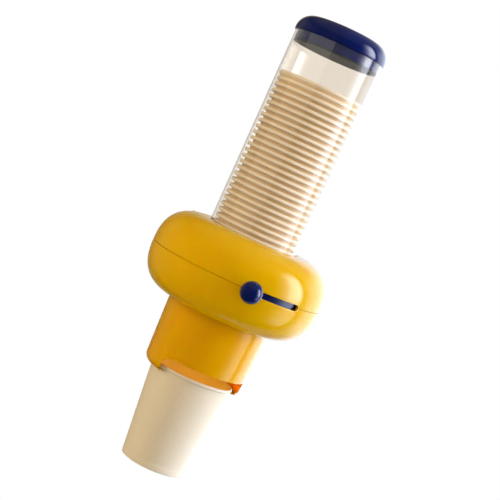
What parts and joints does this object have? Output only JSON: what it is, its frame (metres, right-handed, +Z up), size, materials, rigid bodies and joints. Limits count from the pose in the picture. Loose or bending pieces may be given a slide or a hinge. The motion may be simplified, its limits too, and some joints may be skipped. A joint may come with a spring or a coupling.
{
  "type": "wall-mounted paper cup dispenser",
  "caption": "Wall-mounted cup dispenser: ring-shaped yellow housing with a lever, clear tube with nested paper cups, navy lid, and an outlet neck with a cup hanging by its rim.",
  "frame": {"origin": "centre of the wall plate's back face, level with the housing's parting plane", "axes": "+Z up along the tube axis's direction, +Y towards the wall, +X to the right of a user who faces the dispenser"},
  "size_m": [0.1552, 0.184, 0.4087],
  "materials": {
    "yellow_plastic": "polished moulded plastic, warm yellow",
    "navy_plastic": "polished moulded plastic, dark navy",
    "clear_plastic": "clear extruded plastic",
    "cup_paper": "thin waxed paperboard, cream",
    "white_acetal": "moulded acetal, off white",
    "dark_rubber": "soft dark rubber",
    "steel": "bright plated steel"
  },
  "bodies": {
    "wall": {"wall_plate": "yellow_plastic"},
    "dispenser": {"rear_bracket": "yellow_plastic", "bracket_screw_1": "steel", "bracket_screw_2": "steel", "bracket_screw_3": "steel", "bracket_screw_4": "steel", "upper_housing": "yellow_plastic", "lower_housing": "yellow_plastic", "outlet_neck": "yellow_plastic", "neck_screw_1": "steel", "neck_screw_2": "steel", "neck_screw_3": "steel", "neck_screw_4": "steel", "housing_screw_1": "steel", "housing_screw_2": "steel", "housing_screw_3": "steel", "housing_screw_4": "steel", "cup_tube": "clear_plastic", "tube_seal": "dark_rubber", "mechanism_base": "white_acetal", "mechanism_cover": "white_acetal", "wheel_axle_1": "steel", "wheel_axle_2": "steel", "wheel_axle_3": "steel", "wheel_axle_4": "steel", "spring_post": "steel", "return_spring": "steel", "stop_pad_1": "dark_rubber", "stop_pad_2": "dark_rubber"},
    "lid": {"lid_cap": "navy_plastic", "lid_plug": "navy_plastic", "lid_seal": "dark_rubber"},
    "drive": {"drive_ring": "navy_plastic", "slot_strip": "navy_plastic", "lever_stem": "steel", "lever_knob": "navy_plastic", "ring_peg": "steel"},
    "separator_1": {"separator_wheel_1": "white_acetal"},
    "separator_2": {"separator_wheel_2": "white_acetal"},
    "separator_3": {"separator_wheel_3": "white_acetal"},
    "separator_4": {"separator_wheel_4": "white_acetal"},
    "stack": {"cup_stack": "cup_paper", "next_cup": "cup_paper"},
    "cup": {"released_cup": "cup_paper"}
  },
  "joints": [
    {"name": "lift_off_wall", "type": "slide", "parent": "wall", "child": "dispenser", "axis": [0, 0, 1], "range_m": [0, 0.05]},
    {"name": "lid_lift", "type": "slide", "parent": "dispenser", "child": "lid", "axis": [0, 0, 1], "range_m": [0, 0.04]},
    {"name": "lever", "type": "hinge", "parent": "dispenser", "child": "drive", "pos_m": [0, -0.0904, 0], "axis": [0, 0, 1], "range_deg": [0, 34], "stiffness_Nm_per_rad": 0.25, "springref_deg": -34.38, "deforming": ["return_spring"]},
    {"name": "separator_turn_1", "type": "hinge", "parent": "dispenser", "child": "separator_1", "pos_m": [0.03818, -0.05222, 0], "axis": [0, 0, 1], "range_deg": [0, 218]},
    {"name": "separator_turn_2", "type": "hinge", "parent": "dispenser", "child": "separator_2", "pos_m": [-0.03818, -0.05222, 0], "axis": [0, 0, 1], "range_deg": [0, 218]},
    {"name": "separator_turn_3", "type": "hinge", "parent": "dispenser", "child": "separator_3", "pos_m": [-0.03818, -0.12858, 0], "axis": [0, 0, 1], "range_deg": [0, 218]},
    {"name": "separator_turn_4", "type": "hinge", "parent": "dispenser", "child": "separator_4", "pos_m": [0.03818, -0.12858, 0], "axis": [0, 0, 1], "range_deg": [0, 218]},
    {"name": "stack_lift", "type": "slide", "parent": "dispenser", "child": "stack", "axis": [0, 0, 1], "range_m": [0, 0.025]},
    {"name": "cup_pull", "type": "slide", "parent": "dispenser", "child": "cup", "axis": [0, -1, 0], "range_m": [0, 0.09]}
  ],
  "couplings": [
    {"joint": "separator_turn_1", "follows": "lever", "ratio": 6.4},
    {"joint": "separator_turn_2", "follows": "lever", "ratio": 6.4},
    {"joint": "separator_turn_3", "follows": "lever", "ratio": 6.4},
    {"joint": "separator_turn_4", "follows": "lever", "ratio": 6.4}
  ]
}
